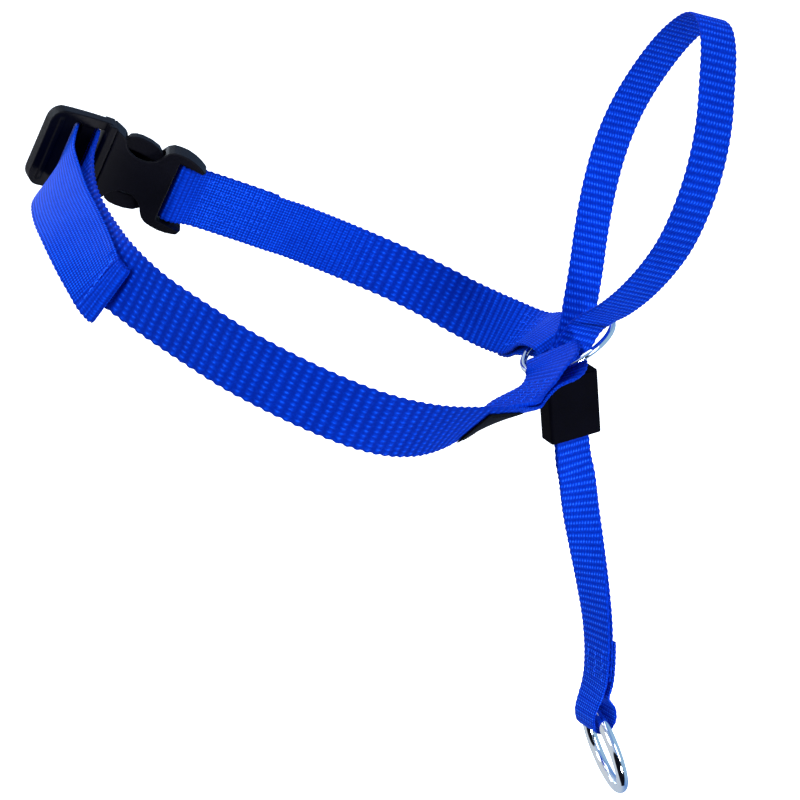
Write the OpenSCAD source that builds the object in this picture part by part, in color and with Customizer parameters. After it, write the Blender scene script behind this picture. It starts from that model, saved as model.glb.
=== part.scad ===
/* [Webbing] */
// Width of the neck webbing
neck_w = 20; // [19:0.5:21]
// Thickness of the neck webbing
neck_t = 1.4; // [1.2:0.1:1.5]
// Width of the nose webbing
nose_w = 12.4; // [11:0.2:12.6]
// Thickness of the nose webbing
nose_t = 1.2; // [1:0.1:1.3]
// Width of the neck webbing where it gathers round the ring
gathered_w = 17.6; // [15:0.2:17.8]
// Length of the sewn lap behind each ring loop
lap_len = 30; // [26:1:32]

/* [Rings] */
// Radius of the centre ring, to the middle of its wire
ring_r = 15.8; // [15.7:0.1:16.1]
// Radius of the centre ring's wire
ring_wire = 1.1; // [1:0.05:1.2]
// Radius of the leash ring, to the middle of its wire
leash_r = 14.5; // [14:0.5:16]
// Radius of the leash ring's wire
leash_wire = 2; // [1.6:0.1:2]

/* [Buckle] */
// Radius of the buckle's curve, at the middle of its thickness
buckle_r = 60; // [58:1:62]
// Width of the buckle across the strap
buckle_w = 27; // [27:0.5:28]
// Thickness of the socket
socket_t = 9; // [9:0.5:10]
// Thickness of the ladder lock
ladder_t = 5; // [4.5:0.5:5.5]

/* [Clamp] */
// Width of the clamp sleeve
clamp_w = 18.4; // [18:0.2:20]
// Height of the clamp sleeve
clamp_h = 22; // [20:1:23]
// Thickness of the clamp sleeve
clamp_t = 8; // [8:0.5:9]

/* [Sewing] */
// Length of one stitch
stitch_l = 2.4; // [2:0.2:3]
// Width of the thread
thread = 0.5; // [0.4:0.1:0.6]

/* [Hidden] */
webbing_blue = "#0b3be0";
thread_blue = "#2a5cf5";
plastic_black = "#141416";
chrome = "#c8ccd2";
tiny = 0.01;

// The neck loop lies in a plane that leans about the Y axis. Its axes are p (along the
// neck loop), q (across it) and h (along the width of the webbing).
loop_lean = 30;
p_axis = [cos(loop_lean), 0, -sin(loop_lean)];
q_axis = [0, 1, 0];
h_axis = [sin(loop_lean), 0, cos(loop_lean)];
function from_loop(v) = v[0] * p_axis + v[1] * q_axis + v[2] * h_axis;
module in_loop() { rotate([0, loop_lean, 0]) children(); }

// ---- vectors and routes ----
function unit(v) = v / norm(v);
function mix(a, b, t) = a + (b - a) * t;
function smooth(t) = let (c = max(0, min(1, t))) c * c * (3 - 2 * c);
function head(v) = [v[0], v[1], v[2]];
function flip(list) = [for (i = [len(list) - 1 : -1 : 0]) list[i]];
function last(list) = list[len(list) - 1];

// A smooth curve through the control points; each holds x, y, z and a twist in degrees.
function curve_point(a, b, c, d, t) =
    0.5 * (2 * b + (c - a) * t + (2 * a - 5 * b + 4 * c - d) * t * t + (3 * b - a - 3 * c + d) * t * t * t);
function curve(points, steps) = let (n = len(points) - 1) [
    for (i = [0 : n - 1], k = [0 : steps - 1])
        curve_point(points[max(i - 1, 0)], points[i], points[i + 1], points[min(i + 2, n)], k / steps),
    points[n]
];

// A station is [place, along, across, out of the face, width].
function station(place, along, up, twist, width) = let (
    flat = unit(up - (up * along) * along),
    side = cross(along, flat),
    across = cos(twist) * flat + sin(twist) * side
) [place, along, across, cross(along, across), width];
function stations(route, up, width) = let (n = len(route) - 1) [
    for (i = [0 : n]) let (along = unit(head(route[min(i + 1, n)]) - head(route[max(i - 1, 0)])))
        station(head(route[i]), along, up, route[i][3], width)
];
function moved(s, d) = [s[0] + d * s[3], s[1], s[2], s[3], s[4]];
function widened(s, w) = [s[0], s[1], s[2], s[3], w];

// Length still to go to the last station, for each station
function to_go(list) = let (n = len(list) - 1)
    flip([for (i = n, sum = 0; i >= 0; sum = sum + (i > 0 ? norm(list[i][0] - list[i - 1][0]) : 0), i = i - 1)
        sum]);

// ---- webbing as a swept band ----
function band_section(s, t) = let (half = s[4] / 2, edge = t * 0.4)
    [for (c = [[-half, 0], [-half + edge, -t / 2], [half - edge, -t / 2], [half, 0], [half - edge, t / 2],
        [-half + edge, t / 2]]) s[0] + c[0] * s[2] + c[1] * s[3]];
module band(list, t) {
    sides = 6;
    rings = len(list);
    points = [for (s = list) each band_section(s, t)];
    walls = [
        for (i = [0 : rings - 2], k = [0 : sides - 1]) let (
            a = i * sides + k, b = i * sides + (k + 1) % sides, c = b + sides, d = a + sides
        ) each [[a, c, b], [a, d, c]]
    ];
    first_cap = [for (k = [1 : sides - 2]) [0, k, k + 1]];
    base = (rings - 1) * sides;
    last_cap = [for (k = [1 : sides - 2]) [base, base + k + 1, base + k]];
    polyhedron(points, concat(walls, first_cap, last_cap));
}

// A strap end that loops round a wire and comes back as a second layer. The layers lie
// either side of the route, and open out to clear the wire. side is 1 or -1: the face of
// the route on which the first layer lies.
ply_gap = 0.3;
function layer_shift(u, open, shut, straight, lap, single) =
    u < straight ? open
    : u < straight + 9 ? mix(open, shut, smooth((u - straight) / 9))
    : u < lap + 1 ? shut
    : mix(shut, single, smooth((u - lap - 1) / 8));
function end_turn(s, side, open) = [
    for (a = [75 : -15 : -75]) let (spoke = cos(a) * s[1] + side * sin(a) * s[3])
        [s[0] + open * spoke, sin(a) * s[1] - side * cos(a) * s[3], s[2], side * spoke, s[4]]
];
function turned(s) = [s[0], -s[1], s[2], -s[3], s[4]];
function gathered(list, narrow) = let (left = to_go(list)) [
    for (i = [0 : len(list) - 1]) widened(list[i], mix(narrow, list[i][4], smooth(left[i] / 14)))
];
function lead(list, side, open, shut, straight, lap, single) = let (left = to_go(list)) [
    for (i = [0 : len(list) - 1])
        moved(list[i], side * layer_shift(left[i], open, shut, straight, lap, single))
];
function lap_back(list, side, open, shut, straight, lap) = let (left = to_go(list)) concat(
    end_turn(last(list), side, open),
    [for (i = [len(list) - 1 : -1 : 0]) if (left[i] < lap)
        turned(moved(list[i], -side * layer_shift(left[i], open, shut, straight, lap, 0)))]
);

// ---- centre ring ----
ring_centre = [86.5, 13, 16.6];
ring_normal = unit([-0.79, 0, 0.61]);
front_pull = unit([0.122, 0.98, 0.158]);
front_along = unit([0.598, -0.2, 0.774]);
rear_pull = unit([0.238, -0.92, 0.308]);
// Distance from the ring's centre to the middle of each strap's turn, and the length
// over which the two layers stay apart
turn_at = 8.2;
turn_straight = 9.4;
neck_open = ring_wire + 0.2 + neck_t / 2;
neck_shut = (neck_t + ply_gap) / 2;
front_open = 2.9;
front_end = ring_centre - (turn_at + 0.5) * front_pull - 3.3 * front_along;
rear_end = ring_centre - turn_at * rear_pull;
// The twist that lays a station's width along a given direction
function twist_for(along, across) = let (flat = unit([0, 0, 1] - along[2] * along))
    atan2(across * cross(along, flat), across * flat);
front_twist = twist_for(front_pull, front_along);
rear_twist = twist_for(rear_pull, cross(ring_normal, rear_pull));

// ---- buckle: places along its curve ----
buckle_centre = [-58, -8.5];
buckle_start = 124.5;
function buckle_angle(s) = buckle_start - s * 180 / (PI * buckle_r);
function buckle_place(s, out) = let (a = buckle_angle(s), r = buckle_r + out)
    [buckle_centre[0] + r * cos(a), buckle_centre[1] + r * sin(a), 0];
// A block of the curve, from s1 to s2 along it, and from out1 to out2 through it
module curved_block(s1, s2, out1, out2, h1, h2) {
    translate([buckle_centre[0], buckle_centre[1], 0])
        rotate([0, 0, buckle_angle(s2)])
            rotate_extrude(angle = buckle_angle(s1) - buckle_angle(s2), $fn = 180)
                translate([buckle_r + out1, h1])
                    square([out2 - out1, h2 - h1]);
}
// A flat outline, drawn as [along, h] about s_mid, pushed through the curve between s1 and s2
module curved_plate(s_mid, s1, s2, out1, out2) {
    intersection() {
        translate([buckle_centre[0], buckle_centre[1], 0])
            rotate([0, 0, buckle_angle(s_mid)])
                rotate([90, 0, 90])
                    translate([0, 0, buckle_r - 12])
                        linear_extrude(24)
                            mirror([1, 0]) children();
        curved_block(s1, s2, out1, out2, -40, 40);
    }
}

// ---- straps of the neck loop ----
bar_s = 15;
bar_half_w = 2.2;
bar_half_t = 1.3;
socket_bar_s = 50.5;
socket_bar_r = 1.6;
strap_lift = bar_half_t + 0.3 + neck_t / 2;
function with_twist(v, t) = [v[0], v[1], v[2], t];
// The tail, from its hem to the ladder lock, outside the main layer
tail_route = [
    [-59.5, -47.2, -4.5, 10], [-62.3, -43.8, -4, 14], [-66, -37.6, -2.5, 22], [-70.6, -28.4, -1, 32],
    [-75.4, -17, 0, 36], [-79.4, -4.5, 0, 34], [-82.2, 9, 0, 28], [-83.4, 22, 0, 14], [-82.6, 33, 0, 4]
];
wrap_route = [
    with_twist(buckle_place(bar_s - 3.8, -0.5), 0),
    with_twist(buckle_place(bar_s - 2.9, strap_lift - 0.1), 0),
    with_twist(buckle_place(bar_s, strap_lift + 0.3), 0),
    with_twist(buckle_place(bar_s + 2.9, strap_lift - 0.1), 0),
    with_twist(buckle_place(bar_s + 3.8, -0.5), 0)
];
front_route = [
    [-75.5, 33, 0, -3], [-77, 22, 0, -14], [-77.6, 9, 0, -28], [-75.6, -4.5, 0, -34], [-71.8, -16, 0, -36],
    [-67.2, -26.5, 0, -32], [-62.6, -35, 0, -22], [-57, -42.4, 0, -12], [-51, -48.4, 0, -4], [-44, -54, 0, 0],
    [-31, -61.6, 0, 0], [-19, -67.4, 0, 0], [-6, -70.9, 0, 0], [6, -72.5, 0, 0], [19, -72.3, 0, 0],
    [31, -68.6, 0, 2], [42, -61, 0, 8], [52, -50.5, 0.3, 17], [60.5, -39.5, 0.8, 30], [67.5, -28, 0.8, 43],
    [73.2, -16.4, 2.4, 52], with_twist(front_end - 10 * front_pull, front_twist + 1),
    with_twist(front_end, front_twist)
];
rear_route = [
    with_twist(buckle_place(socket_bar_s, 0), 0), [-36, 52.8, 0, 0], [-22, 56.4, 0, 0], [-7, 59.4, 0, 0],
    [7, 61, 0, 0], [22, 61.6, 0, 0], [37, 61.2, 0, 0],
    [50, 58.8, 0, -3], [62, 55.4, 0, -9], [72, 49.6, 1.5, -19], [79, 41.5, 4.5, -29],
    with_twist(rear_end - 9 * rear_pull, rear_twist), with_twist(rear_end, rear_twist)
];
up = [0, 0, 1];
long_route = concat(tail_route, wrap_route, front_route);
long_stations = gathered(stations(curve(long_route, 4), up, neck_w), gathered_w + 1);
long_lap = lap_len + 5;
long_front = lead(long_stations, 1, front_open, neck_shut, turn_straight, long_lap, 0);
long_back = lap_back(long_stations, 1, front_open, neck_shut, turn_straight, long_lap);

// The hem is the tail's end, folded under and sewn
hem_len = 9;
hem_gap = neck_t + 0.25;
hem_start = long_front[0];
hem = concat(
    [for (k = [5 : -1 : 0]) turned(moved([hem_start[0] + hem_len * k / 5 * hem_start[1], hem_start[1],
        hem_start[2], hem_start[3], neck_w], hem_gap))],
    [for (a = [60 : -30 : -60]) [
        hem_start[0] + hem_gap / 2 * ((1 + sin(a)) * hem_start[3] - cos(a) * hem_start[1]),
        -sin(a) * hem_start[1] - cos(a) * hem_start[3], hem_start[2],
        cos(a) * hem_start[1] - sin(a) * hem_start[3], neck_w]]
);
long_strap = concat(hem, long_front, long_back);

short_stations = gathered(stations(curve(rear_route, 4), up, neck_w), gathered_w);
bar_open = socket_bar_r + 0.2 + neck_t / 2;
short_mirror = flip([for (s = short_stations) turned(s)]);
bar_lap = 34;
short_start = flip([for (s = lap_back(short_mirror, -1, bar_open, neck_shut, 0.2, bar_lap)) turned(s)]);
short_from_bar = flip([for (s = lead(short_mirror, -1, bar_open, neck_shut, 0.2, bar_lap, 0)) turned(s)]);
short_front = lead(short_from_bar, 1, neck_open, neck_shut, turn_straight, lap_len, 0);
short_back = lap_back(short_stations, 1, neck_open, neck_shut, turn_straight, lap_len);
short_strap = concat(short_start, short_front, short_back);

// ---- nose strap ----
// The nose loop's plane leans forwards. b runs across the nose, a runs up the loop.
nose_side = unit([0.9, 0.22, -0.38]);
nose_up = unit([0, 0, 1] - nose_side[2] * nose_side);
nose_across = cross(nose_side, nose_up);
ring_place = from_loop(ring_centre);
nose_base = [86.8, 14, -24.7];
function from_nose(b, a, t) = with_twist(nose_base + b * nose_across + a * nose_up, t);
clamp_turn = 23.6;
clamp_face = [sin(clamp_turn), -cos(clamp_turn), 0];
nose_ply = (nose_t + ply_gap) / 2;
split = [82.5, 12.1, -37.6];
stem_turn = 10;
far_leg = [
    with_twist(split - nose_ply * clamp_face, stem_turn),
    with_twist(split + [0, 0, 1.5] - nose_ply * clamp_face, stem_turn),
    with_twist(split + [0, 0.3, 4] - nose_ply * clamp_face, -4),
    from_nose(-1.6, 0, 0), from_nose(-4.2, 7, 0), from_nose(-8.1, 17.5, 0), from_nose(-13.6, 29.5, 0),
    from_nose(-17.8, 42, 0), from_nose(-19.6, 55, 0), from_nose(-17.9, 67.5, 0), from_nose(-12.8, 79.5, 0),
    from_nose(-4.5, 92, 0), from_nose(4, 101, 0)
];
near_leg = [
    from_nose(14, 107.6, 0), from_nose(23, 108, 0), from_nose(31, 102.5, 0), from_nose(38.5, 92, 0),
    from_nose(45, 81, 0), from_nose(48.4, 69, 0), from_nose(48.6, 57, 0), from_nose(45.8, 45, 0),
    from_nose(39.5, 34, 0), from_nose(30.4, 23.2, 0), from_nose(20, 14, 0), from_nose(9.6, 6.8, 0),
    from_nose(3.4, 0.4, 0),
    with_twist(split + [0, 0.3, 4] + nose_ply * clamp_face, 4),
    with_twist(split + [0, 0, 1.5] + nose_ply * clamp_face, -stem_turn),
    with_twist(split + nose_ply * clamp_face, -stem_turn)
];
nose_strap = stations(curve(concat(far_leg, near_leg), 4), nose_side, nose_w);

leash_turn = 75;
leash_axis = [cos(leash_turn), -sin(leash_turn), 0];
leash_tilt = 9.5;
leash_hang = [sin(leash_tilt) * sin(leash_turn), sin(leash_tilt) * cos(leash_turn), -cos(leash_tilt)];
leash_top = [84.8, 12, -167];
fold_turn = 58;
leash_open = leash_wire + 2.15 + nose_t / 2;
leash_lap = 30;
fold_out = [-sin(fold_turn), -cos(fold_turn), 0];
leash_end = leash_top + [0, 0, -0.3] + nose_ply * fold_out;
split_gap = 0.35;
drop_route = [
    with_twist(split - [0, 0, split_gap], -clamp_turn), [82.5, 12.1, -46, -clamp_turn],
    [82.5, 12.1, -55, -clamp_turn], [82.5, 12.1, -63, -clamp_turn], [82.7, 12, -70, -17],
    [83.4, 12, -76, -8], [84, 12, -88, 10],
    [85.2, 12, -102, 26], [86.4, 12, -116, 37], [87.2, 12, -130, 46], [87, 12, -142, 52], [86, 12, -152, 55],
    with_twist(leash_end + [0, 0, 8], fold_turn), with_twist(leash_end, fold_turn)
];
drop_stations = stations(curve(drop_route, 4), [1, 0, 0], nose_w);
drop_middle = gathered([for (s = drop_stations) moved(s, -nose_ply)], 11);
front_ply = concat(
    lead(drop_middle, 1, leash_open, 2 * nose_ply, 1.4, leash_lap, 2 * nose_ply),
    lap_back(drop_middle, 1, leash_open, 2 * nose_ply, 1.4, leash_lap));
back_ply = [for (s = drop_stations) if (s[0][2] > leash_top[2] + 15) moved(s, -nose_ply)];

// ---- the modules ----
module long_neck_strap() {
    color(webbing_blue) in_loop() band(long_strap, neck_t);
}
module short_neck_strap() {
    color(webbing_blue) in_loop() band(short_strap, neck_t);
}
module nose_loop_strap() {
    color(webbing_blue) band(nose_strap, nose_t);
}
module drop_strap_front() {
    color(webbing_blue) band(front_ply, nose_t);
}
module drop_strap_back() {
    color(webbing_blue) band(back_ply, nose_t);
}

// A ring of round wire about a point, facing along a direction
module wire_ring(place, facing, r, wire) {
    translate(place)
        rotate([0, acos(facing[2] / norm(facing)), atan2(facing[1], facing[0])])
            rotate_extrude($fn = 96)
                translate([r, 0])
                    circle(r = wire, $fn = 32);
}
module centre_ring() {
    color(chrome) wire_ring(ring_place, from_loop(ring_normal), ring_r, ring_wire);
}
module leash_ring() {
    color(chrome)
        wire_ring(leash_top + leash_r * leash_hang, cross(leash_axis, leash_hang), leash_r, leash_wire);
}

// ---- buckle ----
mouth_s = 23.8;
shell_end_s = 47;
horn_s = 57;
half_w = buckle_w / 2;
window_mid = 34.25;
// One half of the socket's outline: mouth, thumb scoop, horn
socket_half = [
    [-13, -0.5], [-13, 13.3], [-10.4, 12.9], [-8.4, 12.1], [-6.6, 11.2], [-5.8, 10.4], [-5.3, 9.4],
    [-4.4, 8.1], [-3, 7], [-1, 6.2], [1, 6], [3, 6.3], [5, 7.3], [6.4, 8.8], [7.2, 10.4], [8.2, 11.9],
    [9.8, 12.9], [12, 13.3], [14.5, 13.4], [17.2, 13], [19.6, 12.2], [21.2, 11.4], [21.8, 10.9],
    [21.5, 10.5], [19, 10.5], [12.75, 10.5], [12.75, -0.5]
];
module both_halves() {
    for (side = [0, 1])
        mirror([0, side]) children();
}
module buckle_socket() {
    hollow = 3;
    inner_h = 10.7;
    color(plastic_black) in_loop() {
        difference() {
            curved_plate(window_mid, mouth_s, horn_s, -socket_t / 2, socket_t / 2)
                both_halves() polygon(socket_half);
            curved_block(mouth_s - 1, shell_end_s - 1.6, -hollow, hollow, -inner_h, inner_h);
        }
        translate(buckle_place(socket_bar_s, 0))
            cylinder(r = socket_bar_r, h = 21.6, center = true, $fn = 48);
    }
}
module ladder_outline() {
    corner = 4.6;
    translate([-12 + corner, -half_w]) square([30, buckle_w]);
    translate([-12, -half_w + corner]) square([30, buckle_w - 2 * corner]);
    for (h = [-1, 1])
        translate([-12 + corner, h * (half_w - corner)]) circle(r = corner, $fn = 48);
}
module buckle_plug() {
    slot_h = half_w - 3;
    color(plastic_black) in_loop() {
        difference() {
            union() {
                curved_plate(12.8, 0, 22, -ladder_t / 2, ladder_t / 2) ladder_outline();
                // the wall that closes the socket's mouth
                curved_block(20.6, 23.6, -socket_t / 2, socket_t / 2, 0.25 - half_w, half_w - 0.25);
                // the guide tongue, and the grip ridge on the end bar
                curved_block(22.8, 43, -1.4, 1.4, -1.5, 1.5);
                curved_block(3.2, 4.8, -ladder_t / 2 - 0.6, 0, -half_w + 2.6, half_w - 2.6);
            }
            curved_block(9.9, bar_s - bar_half_w, -5, 5, -slot_h, slot_h);
            curved_block(bar_s + bar_half_w, 20.2, -5, 5, -slot_h, slot_h);
            curved_block(9.3, 19.7, bar_half_t, 5, -slot_h + 0.3, slot_h - 0.3);
            curved_block(9.3, 19.7, -5, -bar_half_t, -slot_h + 0.3, slot_h - 0.3);
            for (h = [-1, 1]) curved_block(21.6, 30, -2.3, 2.3, h > 0 ? 5.8 : -10, h > 0 ? 10 : -5.8);
        }
    }
}
module arm_outline() {
    polygon([
        [-12, 6.2], [-12, 8.8], [-6.4, 9.8], [-5.5, 10.3], [-5, 11.4], [-3.2, 12.2], [-1, 12.4], [2, 12.2],
        [5, 11.4], [6.5, 10.2], [8.6, 8.2], [8.6, 6.4], [5, 6.9], [0, 7.4], [-5, 7.4]
    ]);
}
module plug_arm(side) {
    in_loop() curved_plate(window_mid, 20, 50, -2, 2) mirror([0, side > 0 ? 0 : 1]) arm_outline();
}
module plug_arm_upper() {
    color(plastic_black) plug_arm(1);
}
module plug_arm_lower() {
    color(plastic_black) plug_arm(-1);
}

// ---- nose clamp ----
clamp_place = [82.5, 12.1, -49.6];
slot_w = nose_w + 1.2;
slot_t = 2 * nose_t + ply_gap + 1.1;
pin_r = 0.9;
pin_y = 3.4;
pin_z = 7;
module in_clamp() { translate(clamp_place) rotate([0, 0, clamp_turn]) children(); }
module on_pin() { translate([0, pin_y, pin_z]) rotate([0, 90, 0]) children(); }
module clamp_sleeve() {
    corner = 1.2;
    color(plastic_black) in_clamp() difference() {
        linear_extrude(clamp_h, center = true) {
            square([clamp_w - 2 * corner, clamp_t], center = true);
            square([clamp_w, clamp_t - 2 * corner], center = true);
            for (x = [-1, 1], y = [-1, 1])
                translate([x * (clamp_w / 2 - corner), y * (clamp_t / 2 - corner)])
                    circle(r = corner, $fn = 32);
        }
        cube([slot_w, slot_t, clamp_h + 2], center = true);
        translate([-5.6, slot_t / 2 - tiny, -12.5]) cube([11.2, clamp_t, 21.8]);
        on_pin() cylinder(r = pin_r, h = 15, center = true, $fn = 32);
    }
}
module clamp_lever() {
    color(plastic_black) in_clamp() difference() {
        union() {
            on_pin() cylinder(r = 1.75, h = 10.8, center = true, $fn = 48);
            translate([-5.4, 2.5, -12.2]) cube([10.8, 1.9, 12.2 + pin_z]);
            for (k = [0 : 5])
                translate([-5.2, 2.5 - tiny, -8 + 2.4 * k]) rotate([45, 0, 0])
                    translate([0, -0.55, -0.55]) cube([10.4, 1.1, 1.1]);
        }
        on_pin() cylinder(r = pin_r + 0.05, h = 20, center = true, $fn = 32);
    }
}
module clamp_pin() {
    color(chrome) in_clamp() on_pin() cylinder(r = pin_r, h = 14.8, center = true, $fn = 32);
}

// ---- label and sewing ----
label_t = 0.6;
label_from = 41.5;
label_len = 21;
long_left = to_go(long_stations);
label_place = [for (i = [0 : len(long_stations) - 1])
    if (long_left[i] > label_from && long_left[i] < label_from + label_len) i];
module label_patch() {
    color(plastic_black) in_loop()
        band([
            for (i = label_place) widened(moved(long_front[i], (neck_t + label_t) / 2 + 0.05), 15)
        ], label_t);
}

// One stitch goes right through the layers that it joins
module stitch(s, across, depth, turn) {
    along = s[1];
    side = s[2];
    out = s[3];
    multmatrix([
        [along[0], side[0], out[0], s[0][0] + across * side[0]],
        [along[1], side[1], out[1], s[0][1] + across * side[1]],
        [along[2], side[2], out[2], s[0][2] + across * side[2]],
        [0, 0, 0, 1]
    ]) rotate([0, 0, turn]) cube([stitch_l, thread, depth], center = true);
}
neck_depth = 2 * neck_t + ply_gap + 0.4;
short_n = len(short_stations) - 1;
short_left = to_go(short_stations);
long_n = len(long_stations) - 1;
module socket_stitching() {
    color(thread_blue) in_loop()
        for (i = [3 : 12], row = [-1 : 1])
            stitch(short_stations[i], row * 6.5, neck_depth, i % 2 == 0 ? 30 : -30);
}
module short_ring_stitching() {
    color(thread_blue) in_loop()
        for (i = [0 : short_n], row = [-1 : 1])
            if (short_left[i] > 15 && short_left[i] < lap_len - 2)
                stitch(short_stations[i], row * 6, neck_depth, row * 20);
}
module long_ring_stitching() {
    color(thread_blue) in_loop()
        for (i = [0 : long_n], row = [-1 : 1])
            if (long_left[i] > 15 && long_left[i] < long_lap - 2)
                stitch(long_stations[i], row * 6, neck_depth, row * 20);
}
module tail_hem_stitching() {
    seam = hem_start[0] + 5 * hem_start[1] + hem_gap / 2 * hem_start[3];
    place = [seam, hem_start[1], hem_start[2], hem_start[3]];
    color(thread_blue) in_loop()
        for (k = [-2.5 : 1 : 2.5])
            stitch(place, k * 3.2, 2 * neck_t + 0.65, 90);
}
module drop_end_stitching() {
    color(thread_blue)
        for (s = drop_middle, row = [-1 : 1])
            if (s[0][2] < leash_top[2] + 28 && s[0][2] > leash_top[2] + 16)
                stitch(s, row * 3.6, 3 * nose_t + 2 * ply_gap + 0.4, row * 25);
}
module label_stitching() {
    color(thread_blue) in_loop()
        for (i = label_place, row = [-1, 1])
            if (long_left[i] > label_from + 2 && long_left[i] < label_from + label_len - 2)
                stitch(moved(long_front[i], 0.3), row * 6.3, neck_t + label_t + 0.5, 0);
}

long_neck_strap();
short_neck_strap();
nose_loop_strap();
drop_strap_front();
drop_strap_back();
buckle_socket();
buckle_plug();
plug_arm_upper();
plug_arm_lower();
centre_ring();
leash_ring();
clamp_sleeve();
clamp_lever();
clamp_pin();
label_patch();
socket_stitching();
short_ring_stitching();
long_ring_stitching();
tail_hem_stitching();
drop_end_stitching();
label_stitching();
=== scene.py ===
import math

import bmesh
import bpy
import numpy as np
from mathutils import Matrix, Vector


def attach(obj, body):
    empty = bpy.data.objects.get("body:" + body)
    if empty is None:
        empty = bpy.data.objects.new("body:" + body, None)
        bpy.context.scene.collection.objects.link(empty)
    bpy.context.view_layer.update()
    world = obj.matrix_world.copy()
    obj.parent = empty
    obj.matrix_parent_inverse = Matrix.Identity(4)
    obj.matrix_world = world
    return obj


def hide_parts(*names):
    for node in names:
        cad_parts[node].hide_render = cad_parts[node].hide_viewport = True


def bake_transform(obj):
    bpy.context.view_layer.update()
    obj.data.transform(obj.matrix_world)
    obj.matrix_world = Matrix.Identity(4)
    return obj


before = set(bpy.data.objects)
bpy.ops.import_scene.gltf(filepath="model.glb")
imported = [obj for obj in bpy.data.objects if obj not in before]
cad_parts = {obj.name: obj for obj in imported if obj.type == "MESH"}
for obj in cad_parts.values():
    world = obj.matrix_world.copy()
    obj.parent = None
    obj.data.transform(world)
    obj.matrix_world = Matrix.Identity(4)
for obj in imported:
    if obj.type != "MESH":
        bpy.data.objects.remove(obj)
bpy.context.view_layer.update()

MM = 0.001
V = lambda *c: np.array(c, float)
UP = V(0, 0, 1)


def unit(v):
    return v / np.linalg.norm(v)


# ---------------------------------------------------------------- routes
# The same routes as the CAD straps, in millimetres. A route point is [x, y, z, twist in degrees]. The neck
# loop leans by LEAN, so its routes are in its own axes, and from_loop() turns them into the frame.
LEAN = math.radians(30)
LOOP = np.array([
    [math.cos(LEAN), 0, -math.sin(LEAN)],
    [0, 1, 0],
    [math.sin(LEAN), 0, math.cos(LEAN)],
])


def smooth(t):
    c = np.clip(t, 0, 1)
    return c * c * (3 - 2 * c)


def mix(a, b, t):
    return a + (b - a) * t


def curve(points, steps):
    """A smooth curve through the points, with `steps` points to each span."""
    pts = [np.array(p, float) for p in points]
    n = len(pts) - 1
    out = []
    for i in range(n):
        a, b, c, d = pts[max(i - 1, 0)], pts[i], pts[i + 1], pts[min(i + 2, n)]
        for k in range(steps):
            t = k / steps
            out.append(0.5 * (2 * b + (c - a) * t + (2 * a - 5 * b + 4 * c - d) * t * t
                              + (3 * b - a - 3 * c + d) * t ** 3))
    out.append(pts[n])
    return out


def stations(route, up, width):
    """Each station is [place, along, across, out, width]."""
    out = []
    n = len(route) - 1
    for i, r in enumerate(route):
        along = unit(route[min(i + 1, n)][:3] - route[max(i - 1, 0)][:3])
        flat = unit(up - up.dot(along) * along)
        side = np.cross(along, flat)
        t = math.radians(r[3])
        across = math.cos(t) * flat + math.sin(t) * side
        out.append([r[:3], along, across, np.cross(along, across), width])
    return out


def moved(s, d):
    """The station, moved by d along its out direction."""
    return [s[0] + d * s[3], s[1], s[2], s[3], s[4]]


def turned(s):
    """The station, as the band runs back the other way."""
    return [s[0], -s[1], s[2], -s[3], s[4]]


def to_go(sts):
    """The length of band left from each station to the last."""
    place = np.array([s[0] for s in sts])
    step = np.linalg.norm(np.diff(place, axis=0), axis=1)
    return np.concatenate([np.cumsum(step[::-1])[::-1], [0]])


CLOSING, OPENING = 9, 8


def layer_shift(u, open_, shut, straight, lap, single):
    """How far a layer stands off the middle, u before the band's end: open_ round the wire or bar, shut
    where two layers are sewn together, and single where the lap has ended."""
    if u < straight:
        return open_
    if u < straight + CLOSING:
        return mix(open_, shut, smooth((u - straight) / CLOSING))
    if u < lap + 1:
        return shut
    return mix(shut, single, smooth((u - lap - 1) / OPENING))


def end_turn(s, side, open_):
    """The half turn round a wire or bar, past the last station."""
    out = []
    for a in range(80, -81, -5):
        a = math.radians(a)
        spoke = math.cos(a) * s[1] + side * math.sin(a) * s[3]
        out.append([s[0] + open_ * spoke, math.sin(a) * s[1] - side * math.cos(a) * s[3], s[2],
                    side * spoke, s[4]])
    return out


GATHER_LEN = 14


def gathered(sts, narrow):
    """The band narrows towards its end, where it is gathered into a ring."""
    return [[*s[:4], mix(narrow, s[4], smooth(u / GATHER_LEN))] for s, u in zip(sts, to_go(sts))]


def lead(sts, side, *opening):
    """The layer that runs up to the turn."""
    return [moved(s, side * layer_shift(u, *opening)) for s, u in zip(sts, to_go(sts))]


def lap_back(sts, side, open_, shut, straight, lap):
    """The turn at the end, and the layer that lies back along the band for the lap."""
    left = to_go(sts)
    out = end_turn(sts[-1], side, open_)
    for i in range(len(sts) - 1, -1, -1):
        if left[i] < lap:
            out.append(turned(moved(sts[i], -side * layer_shift(left[i], open_, shut, straight, lap, 0))))
    return out


def from_loop(v):
    return np.array(v) @ LOOP


def loop_world(sts):
    """Stations in the neck loop's axes, turned into the row frame."""
    return [[*(from_loop(v) for v in s[:4]), s[4]] for s in sts]


def twist_for(along, across):
    """The twist that points a band's width along `across`, where the band runs along `along`."""
    flat = unit(UP - along[2] * along)
    return math.degrees(math.atan2(across.dot(np.cross(along, flat)), across.dot(flat)))


NECK_W, NECK_T, NOSE_W, NOSE_T = 20, 1.4, 12.4, 1.2
GATHERED_W, LAP_LEN, PLY_GAP = 17.6, 30, 0.3
STEPS = 16

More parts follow.
